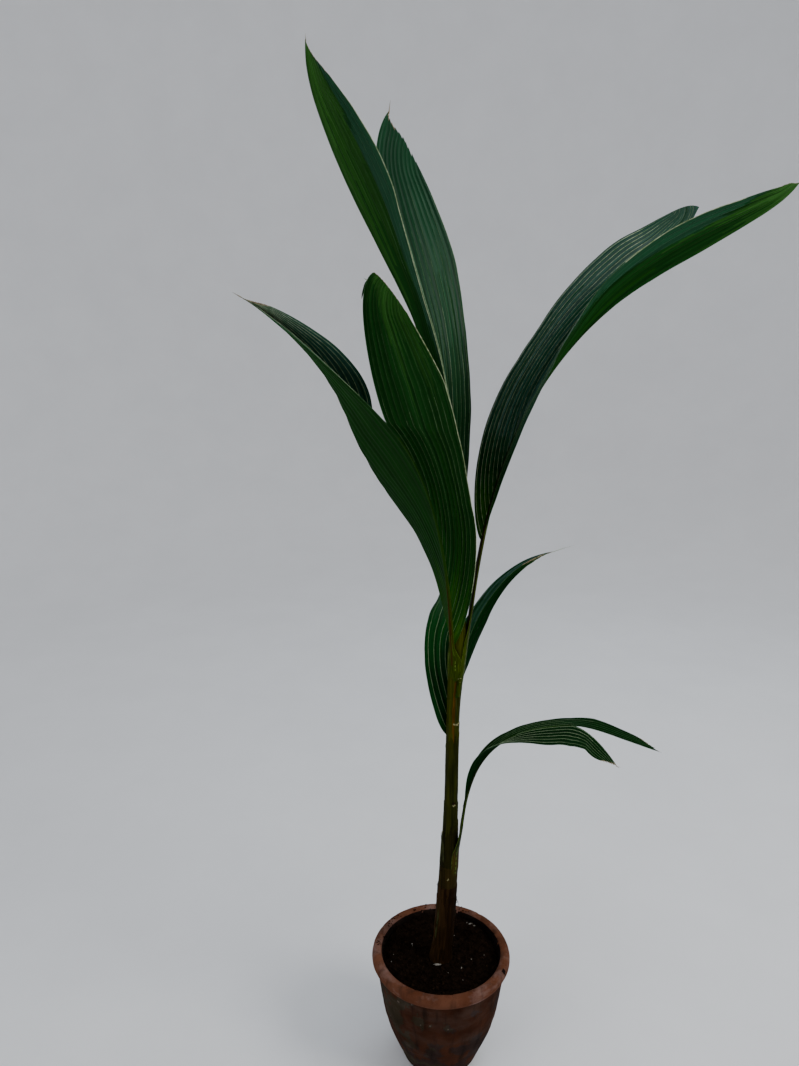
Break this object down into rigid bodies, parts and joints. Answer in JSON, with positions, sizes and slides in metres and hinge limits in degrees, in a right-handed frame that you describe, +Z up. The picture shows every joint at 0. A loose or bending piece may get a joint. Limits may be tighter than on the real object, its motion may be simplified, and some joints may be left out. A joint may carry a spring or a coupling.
{
  "type": "young coconut palm in a clay pot",
  "caption": "Potted young coconut palm: slim upright stem and long pleated leaves that split into lobes, in a round terracotta pot.",
  "frame": {"origin": "centre of the pot's flat underside", "axes": "+Z up along the stem, +X towards the side where the longest arching leaf reaches out, +Y away from the viewer of the picture"},
  "size_m": [0.9935, 0.5722, 2.0857],
  "materials": {
    "pot": "matt fired clay, pale bloom and dark stains",
    "soil": "dark crumbly soil",
    "stem": "olive leaf sheaths, brown and fibrous at the foot",
    "leaf_rib": "satin yellow-green rib",
    "leaf_blade": "glossy dark green above, satin green below"
  },
  "bodies": {
    "root": {"back_leaf_left_blade": "leaf_blade", "back_leaf_rib": "leaf_rib", "back_leaf_right_blade": "leaf_blade", "front_leaf_left_blade": "leaf_blade", "front_leaf_rib": "leaf_rib", "front_leaf_right_blade": "leaf_blade", "low_leaf_left_blade_base": "leaf_blade", "low_leaf_left_blade_end": "leaf_blade", "low_leaf_rib": "leaf_rib", "low_leaf_right_blade_base": "leaf_blade", "low_leaf_right_blade_end": "leaf_blade", "low_leaf_stalk": "leaf_rib", "pot": "pot", "right_leaf_left_blade": "leaf_blade", "right_leaf_rib": "leaf_rib", "right_leaf_right_blade": "leaf_blade", "soil": "soil", "stem": "stem", "tall_leaf_left_blade": "leaf_blade", "tall_leaf_rib": "leaf_rib", "tall_leaf_right_blade": "leaf_blade"}
  },
  "joints": []
}
